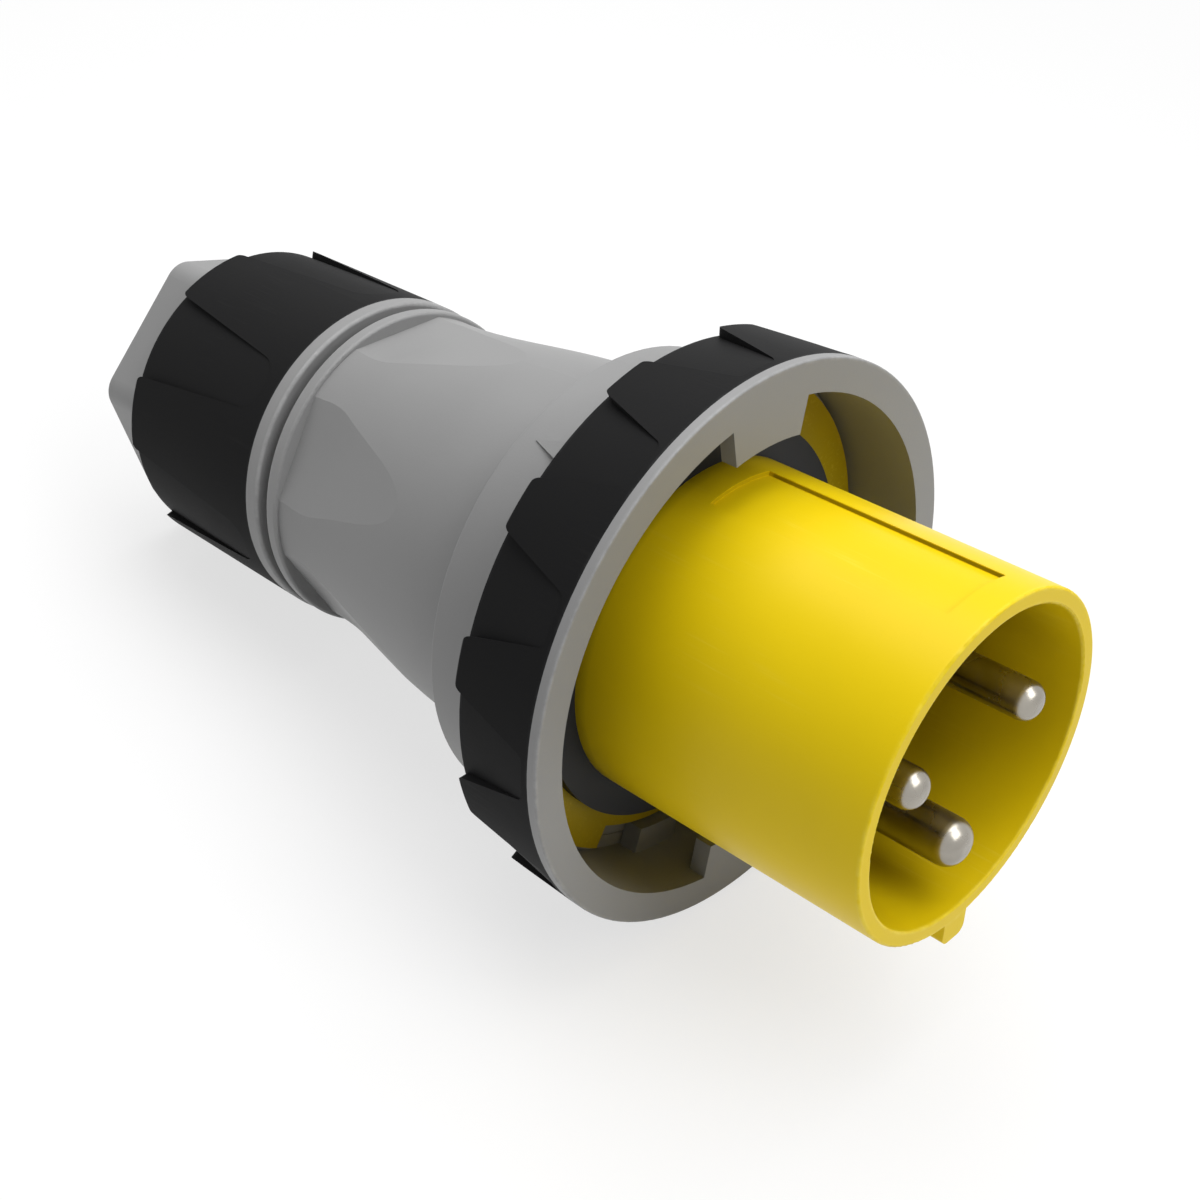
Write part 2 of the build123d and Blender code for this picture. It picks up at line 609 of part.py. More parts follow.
# Locking ring: rim, wall, rear lip, two bayonet lugs and a stop
def make_locking_ring():
    ring = turned(
        [
            (RING_FRONT_X, RING_BORE_R),
            (RING_FRONT_X, RING_R),
            (RING_GRIP_FRONT_X, RING_R),
            (RING_GRIP_FRONT_X, RING_CORE_FRONT_R),
            (RING_REAR_X, RING_CORE_REAR_R),
            (RING_REAR_X, LIP_R),
            (LIP_FRONT_X, LIP_R),
            (LIP_FRONT_X, RING_BORE_R),
        ],
        [((RING_FRONT_X, RING_R), RING_EDGE_ROUND)],
    )
    for index in range(LUG_COUNT):
        ring += around(bayonet_lug(), index * 360 / LUG_COUNT)
    stop_rear_x = FLANGE_REAR_X + FACE_GAP
    ring += sector(stop_rear_x + STOP_LENGTH, stop_rear_x, STOP_R, RING_BORE_R + WELD,
                   STOP_FROM_ANGLE, STOP_TO_ANGLE)
    return ring


def bayonet_lug():
    """Lug flush with the rim; its rear face is a shallow ramp that draws the plug in."""
    lug = sector(RING_FRONT_X, RING_FRONT_X - LUG_THICKNESS, LUG_R, RING_BORE_R + WELD,
                 -LUG_HALF_ANGLE, LUG_HALF_ANGLE)
    cut = Pos(-LUG_THICKNESS, 0, 0) * Box(2 * LUG_THICKNESS, RING_BORE_R, 3 * LUG_REACH)
    return lug - Pos(RING_FRONT_X - LUG_THICKNESS, 0, RING_BORE_R) * Rot(Z=LUG_RAMP_ANGLE) * cut


# Soft grip with tapered ribs that run out towards the front
def make_grip(front_x, rear_x, front_r, rear_r, core_front_r, core_rear_r, rib_r, gap):
    sleeve = turned([(front_x, core_front_r), (front_x, front_r), (rear_x, rear_r), (rear_x, core_rear_r)])
    band = turned(
        [
            (front_x, core_front_r),
            (front_x, front_r),
            (rear_x, rib_r),
            (rear_x, core_rear_r),
        ],
        [((rear_x, rib_r), RIB_EDGE_ROUND)],
    )
    gap_count, gap_turn, cutter = gap
    for index in range(gap_count):
        band -= around(cutter, gap_turn + index * 360 / gap_count)
    return sleeve + band


def gap_cutter(front_x, rear_x, front_width, rear_width, corner_round, radius):
    """Tongue-shaped gap between two ribs, wider at the rear and rounded at the front."""
    front_half = front_width / 2
    rear_half = rear_width / 2
    flare = rear_half + 2 * RIB_CORNER_ROUND
    beyond_x = rear_x - 2 * RIB_CORNER_ROUND
    plan = outline(
        [
            (front_x, front_half),
            (rear_x, rear_half),
            (rear_x, flare),
            (beyond_x, flare),
            (beyond_x, -flare),
            (rear_x, -flare),
            (rear_x, -rear_half),
            (front_x, -front_half),
        ],
        [
            ((front_x, front_half), corner_round),
            ((front_x, -front_half), corner_round),
            ((rear_x, rear_half), RIB_CORNER_ROUND),
            ((rear_x, -rear_half), RIB_CORNER_ROUND),
        ],
    )
    return extrude(Pos(0, 0, radius / 2) * plan, radius)


def make_ring_grip():
    cutter = gap_cutter(RING_GAP_FRONT_X, RING_REAR_X, RING_GAP_FRONT_WIDTH, RING_GAP_REAR_WIDTH,
                        RING_GAP_ROUND, RING_R)
    return make_grip(RING_GRIP_FRONT_X, RING_REAR_X, RING_R, RING_GRIP_REAR_R, RING_CORE_FRONT_R,
                     RING_CORE_REAR_R, RING_RIB_R, (RING_RIB_COUNT, RING_GAP_TURN, cutter))


def make_nut_grip():
    cutter = gap_cutter(NUT_GAP_FRONT_X, NUT_CORE_REAR_X, NUT_GAP_FRONT_WIDTH, NUT_GAP_REAR_WIDTH,
                        NUT_GAP_ROUND, NUT_R)
    turn = NUT_TURN + 180 / NUT_RIB_COUNT
    return make_grip(NUT_GRIP_FRONT_X, NUT_CORE_REAR_X, NUT_R, NUT_GRIP_REAR_R, NUT_CORE_FRONT_R,
                     NUT_CORE_REAR_R, NUT_RIB_R, (NUT_RIB_COUNT, turn, cutter))


# Gland nut: rim, core under the grip, hexagonal tail, thread bore and clamping cone
def make_gland_nut():
    core = turned(
        [
            (NUT_FRONT_X, 0),
            (NUT_FRONT_X, NUT_R),
            (NUT_GRIP_FRONT_X, NUT_R),
            (NUT_GRIP_FRONT_X, NUT_CORE_FRONT_R),
            (NUT_CORE_REAR_X, NUT_CORE_REAR_R),
            (NUT_CORE_REAR_X, 0),
        ],
        [((NUT_FRONT_X, NUT_R), NUT_EDGE_ROUND)],
    )
    core += hex_tail()
    return core - nut_bore()


def hex_tail():
    """Six-sided tail with rounded corners that meet the core, for a spanner."""
    plan = RegularPolygon(HEX_FLATS_R, 6, major_radius=False)
    plan = fillet(plan.vertices(), HEX_CORNER_ROUND)
    tail = Pos(NUT_REAR_X, 0, 0) * Rot(Y=90) * extrude(plan, CONE_REAR_X - NUT_REAR_X)
    tail = chamfer(tail.faces().sort_by(Axis.X)[0].edges(), HEX_EDGE_CHAMFER)
    return around(tail, NUT_TURN)


def nut_bore():
    mouth_r = CABLE_HOLE_R + CABLE_MOUTH_ROUND
    return turned(
        [
            (NUT_FRONT_X + OVERCUT, 0),
            (NUT_FRONT_X + OVERCUT, NUT_BORE_R),
            (NUT_BORE_END_X, NUT_BORE_R),
            (NUT_BORE_END_X, CONE_FRONT_R),
            (CONE_REAR_X, CONE_REAR_R),
            (CONE_REAR_X, CABLE_HOLE_R),
            (NUT_REAR_X + CABLE_MOUTH_ROUND, CABLE_HOLE_R),
            (NUT_REAR_X, mouth_r),
            (NUT_REAR_X - OVERCUT, mouth_r),
            (NUT_REAR_X - OVERCUT, 0),
        ]
    )


# Cable seal with rings that peel out, clamp cage with fingers, and slip ring
def make_cable_seal():
    seal = turned(
        [
            (LEDGE_REAR_X, SEAL_FRONT_BORE_R),
            (LEDGE_REAR_X, SEAL_R),
            (SEAL_REAR_X, SEAL_R),
            (SEAL_REAR_X, SEAL_REAR_BORE_R),
        ]
    )
    for step in SEAL_GROOVE_STEPS:
        inner_r = SEAL_REAR_BORE_R + step
        groove_end_x = SEAL_REAR_X + SEAL_GROOVE_DEPTH
        seal -= tube(groove_end_x, SEAL_REAR_X - OVERCUT, inner_r, inner_r + SEAL_GROOVE_WIDTH)
    return seal


def cone_r(x):
    """Radius of the nut's clamping cone at a place on the axis."""
    share = (x - NUT_BORE_END_X) / (CONE_REAR_X - NUT_BORE_END_X)
    return CONE_FRONT_R + share * (CONE_REAR_R - CONE_FRONT_R)


def make_clamp_cage():
    root_x = CAGE_FLANGE_X - CAGE_FLANGE_THICKNESS
    wall = RUNNING_GAP + SLIP_WALL
    cage = turned(
        [
            (SEAL_REAR_X - FACE_GAP, CAGE_BORE_R),
            (SEAL_REAR_X - FACE_GAP, NECK_BORE_R - RUNNING_GAP),
            (CAGE_FLANGE_X, NECK_BORE_R - RUNNING_GAP),
            (CAGE_FLANGE_X, CAGE_FLANGE_R),
            (root_x, CAGE_FLANGE_R),
            (root_x, cone_r(root_x) - wall),
            (FINGER_END_X, cone_r(FINGER_END_X) - wall),
            (FINGER_END_X, CAGE_BORE_R),
        ]
    )
    slot_length = root_x - FINGER_END_X
    slot = Pos(root_x - slot_length / 2, 0, CAGE_FLANGE_R / 2)
    for index in range(FINGER_COUNT):
        cage -= around(slot * Box(slot_length, FINGER_SLOT, CAGE_FLANGE_R), index * 360 / FINGER_COUNT)
    return cage


def make_slip_ring():
    return turned(
        [
            (SLIP_FRONT_X, cone_r(SLIP_FRONT_X) - RUNNING_GAP - SLIP_WALL),
            (SLIP_FRONT_X, cone_r(SLIP_FRONT_X) - RUNNING_GAP),
            (SLIP_REAR_X, cone_r(SLIP_REAR_X) - RUNNING_GAP),
            (SLIP_REAR_X, cone_r(SLIP_REAR_X) - RUNNING_GAP - SLIP_WALL),
        ]
    )


# All pieces about the plug's own axis
def make_pieces():
    first, second, earth = pin_places()
    return {
        "front_shroud": make_front_shroud(),
        "line_pin_1": make_pin(*first),
        "line_pin_2": make_pin(*second),
        "earth_pin": make_pin(*earth),
        "line_1_terminal_screws": make_terminal_screws(first[0], first[2]),
        "line_2_terminal_screws": make_terminal_screws(second[0], second[2]),
        "earth_terminal_screws": make_terminal_screws(earth[0], earth[2]),
        "contact_carrier": make_contact_carrier(),
        "carrier_screws": make_carrier_screws(),
        "face_gasket": make_face_gasket(),
        "flange_seal": make_flange_seal(),
        "flange_screws": make_flange_screws(),
        "housing": make_housing(),
        "housing_neck": make_housing_neck(),
        "cable_seal": make_cable_seal(),
        "locking_ring": make_locking_ring(),
        "ring_grip": make_ring_grip(),
        "clamp_cage": make_clamp_cage(),
        "slip_ring": make_slip_ring(),
        "gland_nut": make_gland_nut(),
        "nut_grip": make_nut_grip(),
    }


# Resting place: the ring's lowest ribs and the nut's lowest rib touch the surface
def rest_tilt():
    rib_angle = math.asin(RING_GAP_REAR_WIDTH / 2 / RING_GRIP_REAR_R)
    front_drop = RING_RIB_R * math.cos(rib_angle)
    rear_drop = NUT_RIB_R
    return math.degrees(math.atan2(front_drop - rear_drop, RING_REAR_X - NUT_CORE_REAR_X))


def rest_place(pieces):
    """Place that tilts the pins up and puts the origin under the middle of the plug."""
    tilt = Rot(Y=-rest_tilt())
    box = (tilt * Compound(list(pieces.values()))).bounding_box()
    return Pos(-box.center().X, -box.center().Y, -box.min.Z) * tilt


def main():
    os.makedirs("parts", exist_ok=True)
    pieces = make_pieces()
    place = rest_place(pieces)
    for name, piece in pieces.items():
        export_step(place * piece, "parts/" + name + ".step")


main()
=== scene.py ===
import json
import math

import bpy
from mathutils import Matrix, Vector


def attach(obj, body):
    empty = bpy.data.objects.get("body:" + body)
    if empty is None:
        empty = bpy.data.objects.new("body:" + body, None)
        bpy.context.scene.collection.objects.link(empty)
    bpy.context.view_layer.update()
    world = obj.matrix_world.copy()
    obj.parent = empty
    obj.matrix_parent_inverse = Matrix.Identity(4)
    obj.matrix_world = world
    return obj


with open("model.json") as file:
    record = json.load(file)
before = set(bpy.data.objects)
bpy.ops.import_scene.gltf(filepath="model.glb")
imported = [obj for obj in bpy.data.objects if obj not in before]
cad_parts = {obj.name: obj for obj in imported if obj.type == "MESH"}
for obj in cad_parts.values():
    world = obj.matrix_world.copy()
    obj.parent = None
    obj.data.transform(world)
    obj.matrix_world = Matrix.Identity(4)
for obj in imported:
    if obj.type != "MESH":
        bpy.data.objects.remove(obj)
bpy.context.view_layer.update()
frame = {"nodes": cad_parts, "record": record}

bl_info = {
    "name": "Industrial plug",
    "version": (1, 0, 0),
    "blender": (4, 5, 0),
    "location": "View3D > Sidebar > Plug",
    "description": "Dresses the industrial plug's CAD frame with finishes, threads and a studio",
    "category": "Object",
}

MM = 0.001

# Moulding grain: share of the pits in its height, the range of the fine noise that makes
# specks, and the scale and range of the noise that breaks up wear
PIT_SHARE = 0.5
SPECKS_FROM = 0.62
SPECKS_TO = 0.74
BREAK_SCALE = 330.0
BREAKS_FROM = 0.36
BREAKS_TO = 0.62

# Round edges: share of their width that is worn in full
RIM_CORE = 0.2

# Scuffs: how fine the lines are, how little they change along the axis, the scale and range
# of the noise that gathers them in patches, and the range of the noise that makes them
SCUFF_FINENESS = 1500.0
SCUFF_STRETCH = 0.035
PATCH_SCALE = 38.0
PATCHES_FROM = 0.48
PATCHES_TO = 0.68
LINES_FROM = 0.56
LINES_TO = 0.72

# Turning marks: scale of the smears across them
SMEAR_SCALE = 120.0

# Mouldings: range of the slow drift, specks, and how roughness follows drift, scuffs and wear
DRIFT_FROM = 0.3
DRIFT_TO = 0.7
SPECK_STRENGTH = 0.12
SPECK_TONE = 0.6
SMOOTHER = 0.04
ROUGHER = 0.05
SCUFF_ROUGHNESS = 0.12
EDGE_POLISH = 0.1
GRAIN_HEIGHT = 0.05 * MM

# Metals: tone and roughness of the smears
SMEAR_TONE = 0.8
SMEARS_FROM = 0.35
SMEARS_TO = 0.65
METAL_SMOOTHER = 0.05
METAL_ROUGHER = 0.08
RING_HEIGHT = 0.02 * MM

# Painted shade in the shroud's recesses, which darkens the colour where shade falls: its tone
# against the clean colour and how strong it is. Each pair of places is where it starts and where
# it is full, on the axis or as a radius
PAINTED_SHADE_TONE = 0.2
TUBE_SHADE = 0.5
TUBE_SHADE_PLACES = (-2.0 * MM, -26.0 * MM)
TUBE_SHADE_RADII = (33.8 * MM, 33.2 * MM)
FLANGE_SHADE = 0.65
FLANGE_SHADE_PLACES = (-63.5 * MM, -67.0 * MM)
WALL_SHADE = 0.85
WALL_SHADE_PLACES = (-3.0 * MM, -4.0 * MM)
WALL_FOOT_RADII = (34.72 * MM, 34.82 * MM)
WALL_TOP_RADII = (35.5 * MM, 35.35 * MM)
REAR_WALL_SHARE = 0.35
REAR_WALL_PLACES = (-57.8 * MM, -57.2 * MM)
SHADE_DRIFT = (0.35, 0.6)
SHADE_THINNEST = 0.85

# Round edges that wear first: place on the axis and radius, in millimetres
YELLOW_RIMS = ((-0.2, 35.4), (-0.2, 32.5))
GREY_RIMS = ((-52.7, 59.4), (-158.2, 36.9), (-161.6, 37.0), (-224.1, 32.7))
BLACK_RIMS = ((-54.7, 59.6), (-75.0, 57.0), (-164.9, 37.4), (-209.3, 35.6))

# Finishes by the name of their colour. A grain above 1 is finer than the grain size set below
# The yellow's recess shading is painted shade in its colour, darker inside the tube, on the flange
# and round the panel
MOULDINGS = {
    "yellow": dict(label="Yellow moulding", roughness=0.36, grain=1.3, depth=0.08, specular=0.12,
                   drift=0.04, worn=(0.85, 0.68, 0.08), wear=0.5, rims=YELLOW_RIMS, scuffs=0.25,
                   recess_shading=True),
    "grey": dict(label="Grey moulding", roughness=0.48, grain=1.0, depth=0.2, specular=0.4,
                 worn=(0.42, 0.42, 0.42), wear=0.3, rims=GREY_RIMS),
    "black": dict(label="Soft grip", roughness=0.6, grain=1.0, depth=0.25, specular=0.06,
                  drift=0.15, worn=(0.03, 0.03, 0.031), wear=0.5, rims=BLACK_RIMS, scuffs=0.2),
    "rubber": dict(label="Seal rubber", roughness=0.55, grain=1.6, depth=0.15, specular=0.25,
                   drift=0.12),
    "carrier": dict(label="Dark carrier", roughness=0.45, grain=1.0, depth=0.2),
    "nylon": dict(label="Natural nylon", roughness=0.4, grain=1.4, depth=0.12),
}
METALS = {
    "nickel": dict(label="Nickelled brass", roughness=0.25, rings=9000.0, depth=0.2),
    "zinc": dict(label="Zinc plated steel", roughness=0.34, rings=7000.0, depth=0.3),
}

# Threads: how deep a ridge is sunk in its wall, its widths at root and crest as shares of the
# pitch, and points in a turn. Each end fades to THINNEST_RIDGE of the size over one part in
# FADES_A_TURN of a turn
THREAD_SINK = 0.2 * MM
THREAD_ROOT_SHARE = 0.36
THREAD_CREST_SHARE = 0.12
POINTS_A_TURN = 96
FADES_A_TURN = 3.0
THINNEST_RIDGE = 0.02

# Studio: lamps and camera are in the plug's own axes, with power in watts. The floor's glow
# grows from GLOW_NEAR to full over GLOW_RANGE, in metres from its middle
FLOOR_HALF = 4.0
FLOOR_ROUGHNESS = 0.9
FLOOR_SPECULAR = 0.1
FLOOR_SPOT_SCALE = 9.0
FLOOR_SPOT_TONE = 0.99
GLOW_NEAR = 0.7
GLOW_RANGE = (0.2, 0.9)
SKY_ON_OBJECT = 0.22
LAMPS = {
    "overhead": dict(place=(-0.10, 0.15, 0.75), target=(-0.08, 0, 0), size=0.8, power=7.2),
    "front": dict(place=(0.50, 0.05, 0.55), target=(-0.03, 0, 0), size=0.5, power=2.8),
}
CAMERA_RIGHT = (1, 1, 0)
CAMERA_UP = (-1, 1, 2)
SENSOR_WIDTH = 36.0
CLIP_START = 0.01


# The plug's own axes: X along the axis from the mouth of the shroud, Z to its top
def mount(name):
    return next(m for m in frame["record"]["mounts"] if m["name"] == name)


def plug_matrix():
    face = mount("coupling_face")
    along = Vector(face["axis"]).normalized()
    across = Vector((0, 1, 0))
    up = along.cross(across)
    turn = Matrix((along, across, up)).transposed().to_4x4()
    return Matrix.Translation(Vector(face["pos_m"])) @ turn


PLUG = plug_matrix()


# Sizes and colours that a user would change
def length(name, description, default):
    return bpy.props.FloatProperty(name=name, description=description, default=default,
                                   unit="LENGTH", precision=5)


def colour(name, description, default):
    return bpy.props.FloatVectorProperty(name=name, description=description, default=default,
                                         size=3, subtype="COLOR", min=0, max=1)


class PlugSizes(bpy.types.PropertyGroup):
    """Sizes of what the scene adds to the CAD model"""
    thread_pitch: length(
        "Thread pitch", "Way that the gland nut moves in one turn", 3.0 * MM)
    thread_height: length(
        "Thread height", "How far a ridge of the thread stands proud", 0.8 * MM)
    neck_thread_radius: length(
        "Neck thread radius", "Radius of the neck between the thread's ridges", 30.1 * MM)
    neck_thread_front: length(
        "Neck thread front", "Place on the axis where the neck's thread begins", -161.5 * MM)
    neck_thread_rear: length(
        "Neck thread rear", "Place on the axis where the neck's thread ends", -181.3 * MM)
    nut_thread_radius: length(
        "Nut thread radius", "Radius of the nut's bore between the thread's ridges", 31.3 * MM)
    nut_thread_front: length(
        "Nut thread front", "Place on the axis where the nut's thread begins", -163.0 * MM)
    nut_thread_rear: length(
        "Nut thread rear", "Place on the axis where the nut's thread ends", -181.0 * MM)
    grain_size: length(
        "Grain size", "Width of a grain of the moulding texture", 0.45 * MM)
    wear_width: length(
        "Wear width", "Width of the worn line along a moulded edge", 0.7 * MM)


class PlugColours(bpy.types.PropertyGroup):
    """Colours of the mouldings and the metal"""
    yellow: colour("Yellow", "Shroud", (0.76, 0.55, 0.004))
    grey: colour("Grey", "Housing, ring and nut", (0.24, 0.24, 0.24))
    black: colour("Black", "Soft grips", (0.009, 0.009, 0.0093))
    rubber: colour("Rubber", "Gaskets and cable seal", (0.016, 0.017, 0.02))
    nickel: colour("Nickel", "Contact pins", (0.39, 0.365, 0.32))
    zinc: colour("Zinc", "Screws", (0.62, 0.63, 0.65))
    carrier: colour("Carrier", "Contact carrier", (0.05, 0.05, 0.055))
    nylon: colour("Nylon", "Clamp cage and slip ring", (0.68, 0.66, 0.60))


class PlugStudio(bpy.types.PropertyGroup):
    """Camera and floor"""
    lens: bpy.props.FloatProperty(
        name="Lens", description="Focal length in millimetres", default=53.58)
    shift: bpy.props.FloatVectorProperty(
        name="Shift", description="Shift of the picture", default=(0.0417, 0.0577), size=2)
    eye: bpy.props.FloatVectorProperty(
        name="Eye", description="Place of the camera in the plug's axes", size=3,
        default=(0.1216, -0.2301, 0.1982), subtype="TRANSLATION", unit="LENGTH")
    floor: colour("Floor", "Floor and backdrop", (0.9, 0.9, 0.9))


# Node helpers
class Nodes:
    """Adds nodes to one tree and links them by name"""

    def __init__(self, tree):
        self.tree = tree

    def add(self, kind, values=None, **settings):
        node = self.tree.nodes.new(kind)
        for key, value in settings.items():
            setattr(node, key, value)
        for key, value in (values or {}).items():
            self.put(value, node.inputs[key])
        return node

    def put(self, value, socket):
        if isinstance(value, bpy.types.NodeSocket):
            self.tree.links.new(value, socket)
        else:
            socket.default_value = value

    def math(self, operation, *values):
        node = self.add("ShaderNodeMath", operation=operation)
        for value, socket in zip(values, node.inputs):
            self.put(value, socket)
        return node.outputs[0]

    def times(self, first, second):
        return self.math("MULTIPLY", first, second)

    def most(self, first, second):
        return self.math("MAXIMUM", first, second)

    def mix(self, share, first, second):
        node = self.add("ShaderNodeMix", data_type="RGBA")
        self.put(share, node.inputs[0])
        self.put(first, node.inputs[6])
        self.put(second, node.inputs[7])
        return node.outputs[2]

    def remap(self, value, low, high, new_low=0.0, new_high=1.0):
        ends = {0: value, 1: low, 2: high, 3: new_low, 4: new_high}
        return self.add("ShaderNodeMapRange", ends).outputs[0]

    def noise(self, where, scale, detail, roughness=0.5):
        values = {"Vector": where, "Scale": scale, "Detail": detail, "Roughness": roughness}
        return self.add("ShaderNodeTexNoise", values).outputs["Fac"]


def rgba(values):
    return (values[0], values[1], values[2], 1.0)


def toned(base, share):
    return rgba([min(1, c * share) for c in base])


def new_group(name, inputs, outputs):
    """Shader node group with named number sockets"""
    tree = bpy.data.node_groups.new(name, "ShaderNodeTree")
    for label, default in inputs.items():
        socket = tree.interface.new_socket(
            name=label, in_out="INPUT", socket_type="NodeSocketFloat")
        socket.default_value = default
    for label in outputs:
        tree.interface.new_socket(name=label, in_out="OUTPUT", socket_type="NodeSocketFloat")
    nodes = Nodes(tree)
    start = nodes.add("NodeGroupInput")
    end = nodes.add("NodeGroupOutput")
    return nodes, start, end


def axis_mapping(nodes):
    """Object coordinates turned into the plug's own axes"""
    place = PLUG.inverted()
    where = nodes.add("ShaderNodeTexCoord").outputs["Object"]
    turn = nodes.add("ShaderNodeMapping", {
        "Vector": where, "Location": place.to_translation(), "Rotation": place.to_euler()})
    return turn.outputs[0]


def along_and_radius(nodes):
    """Place on the plug's axis and distance from it"""
    parts = nodes.add("ShaderNodeSeparateXYZ", {"Vector": axis_mapping(nodes)}).outputs
    across = nodes.add("ShaderNodeCombineXYZ", {"Y": parts["Y"], "Z": parts["Z"]})
    away = nodes.add("ShaderNodeVectorMath", {0: across.outputs[0]}, operation="LENGTH")
    return parts["X"], away.outputs["Value"]


def grain_group():
    """Fine moulding texture: a height, a slow drift of tone, specks and a mask that breaks wear"""
    nodes, start, end = new_group(
        "Moulding grain", {"Grain": 2200.0, "Drift": 14.0},
        ("Height", "Tone", "Specks", "Breaks"))
    where = axis_mapping(nodes)
    grain = start.outputs["Grain"]
    pits = nodes.add("ShaderNodeTexVoronoi", {"Vector": where, "Scale": grain}, feature="F1")
    fine = nodes.noise(where, grain, detail=3.0, roughness=0.6)
    slow = nodes.noise(where, start.outputs["Drift"], detail=4.0, roughness=0.55)
    height = nodes.math("ADD", nodes.times(pits.outputs["Distance"], PIT_SHARE), fine)
    broken = nodes.noise(where, BREAK_SCALE, detail=4.0, roughness=0.65)
    nodes.put(height, end.inputs["Height"])
    nodes.put(slow, end.inputs["Tone"])
    nodes.put(nodes.remap(fine, SPECKS_FROM, SPECKS_TO), end.inputs["Specks"])
    nodes.put(nodes.remap(broken, BREAKS_FROM, BREAKS_TO), end.inputs["Breaks"])
    return nodes.tree


def rim_group():
    """Mask along one round edge, given by its place on the plug's axis and its radius"""
    nodes, start, end = new_group(
        "Round edge", {"Place": 0.0, "Radius": 0.03, "Width": 0.0005}, ("Mask",))
    along, radius = along_and_radius(nodes)
    step = nodes.math("SUBTRACT", along, start.outputs["Place"])
    rise = nodes.math("SUBTRACT", radius, start.outputs["Radius"])
    squares = nodes.math("ADD", nodes.times(step, step), nodes.times(rise, rise))
    share = nodes.math("DIVIDE", nodes.math("SQRT", squares), start.outputs["Width"])
    nodes.put(nodes.remap(share, 1.0, RIM_CORE), end.inputs["Mask"])
    return nodes.tree


def scuff_group():
    """Fine rubbed lines along the plug's axis, as sliding in and out of a socket leaves them"""
    nodes, start, end = new_group("Scuffs", {"Fineness": SCUFF_FINENESS}, ("Lines", "Patches"))
    where = axis_mapping(nodes)
    drawn = nodes.add("ShaderNodeVectorMath", {0: where, 1: (SCUFF_STRETCH, 1.0, 1.0)},
                      operation="MULTIPLY")
    lines = nodes.noise(drawn.outputs[0], start.outputs["Fineness"], detail=2.0)
    gathered = nodes.noise(where, PATCH_SCALE, detail=4.0, roughness=0.6)
    patches = nodes.remap(gathered, PATCHES_FROM, PATCHES_TO)
    nodes.put(nodes.times(nodes.remap(lines, LINES_FROM, LINES_TO), patches),
              end.inputs["Lines"])
    nodes.put(patches, end.inputs["Patches"])
    return nodes.tree


def turning_group():
    """Fine rings left by turning, around an axis parallel to the plug's"""
    nodes, start, end = new_group("Turning marks", {"Rings": 9000.0}, ("Height", "Streaks"))
    where = axis_mapping(nodes)
    along = nodes.add("ShaderNodeSeparateXYZ", {"Vector": where}).outputs["X"]
    rings = nodes.add("ShaderNodeTexNoise", {
        "W": nodes.times(along, start.outputs["Rings"]), "Scale": 1.0, "Detail": 2.0},
        noise_dimensions="1D")
    nodes.put(rings.outputs["Fac"], end.inputs["Height"])
    nodes.put(nodes.noise(where, SMEAR_SCALE, detail=4.0), end.inputs["Streaks"])
    return nodes.tree


GROUPS = {}


def effect(nodes, name, values):
    return nodes.add("ShaderNodeGroup", values, node_tree=GROUPS[name]).outputs


def blank_material(name, seen_colour):
    material = bpy.data.materials.new(name)
    material.use_nodes = True
    material.node_tree.nodes.clear()
    material.diffuse_color = rgba(seen_colour)
    nodes = Nodes(material.node_tree)
    shader = nodes.add("ShaderNodeBsdfPrincipled")
    end = nodes.add("ShaderNodeOutputMaterial")
    nodes.put(shader.outputs[0], end.inputs["Surface"])
    return material, nodes, shader


def bumped(nodes, shader, strength, distance, height):
    values = {"Strength": strength, "Distance": distance, "Height": height}
    nodes.put(nodes.add("ShaderNodeBump", values).outputs[0], shader.inputs["Normal"])


def worn_edges(nodes, rims, width, breaks, wear):
    """Broken mask along several round edges"""
    mask = 0.0
    for place, radius in rims:
        rim = effect(nodes, "rim", {"Place": place * MM, "Radius": radius * MM, "Width": width})
        mask = nodes.most(mask, rim["Mask"])
    return nodes.times(nodes.times(mask, breaks), wear)


def painted_recess_shade(nodes, drift):
    """Mask of painted shade in the shroud's recesses: inside the tube, on the flange, round the
    panel
    """
    along, radius = along_and_radius(nodes)
    deep = nodes.remap(along, *TUBE_SHADE_PLACES, 0.0, TUBE_SHADE)
    tube = nodes.times(nodes.remap(radius, *TUBE_SHADE_RADII), deep)
    flange = nodes.remap(along, *FLANGE_SHADE_PLACES, 0.0, FLANGE_SHADE)
    foot = nodes.remap(radius, *WALL_FOOT_RADII)
    top = nodes.remap(radius, *WALL_TOP_RADII)
    behind_mouth = nodes.remap(along, *WALL_SHADE_PLACES, 0.0, WALL_SHADE)
    before_rear = nodes.remap(along, *REAR_WALL_PLACES, REAR_WALL_SHARE, 1.0)
    wall = nodes.times(nodes.times(foot, top), nodes.times(behind_mouth, before_rear))
    # Painted shade: the darkest of the three masks, broken up by the slow drift
    shade_mask = nodes.most(nodes.most(tube, flange), wall)
    return nodes.times(shade_mask, nodes.remap(drift, *SHADE_DRIFT, SHADE_THINNEST, 1.0))


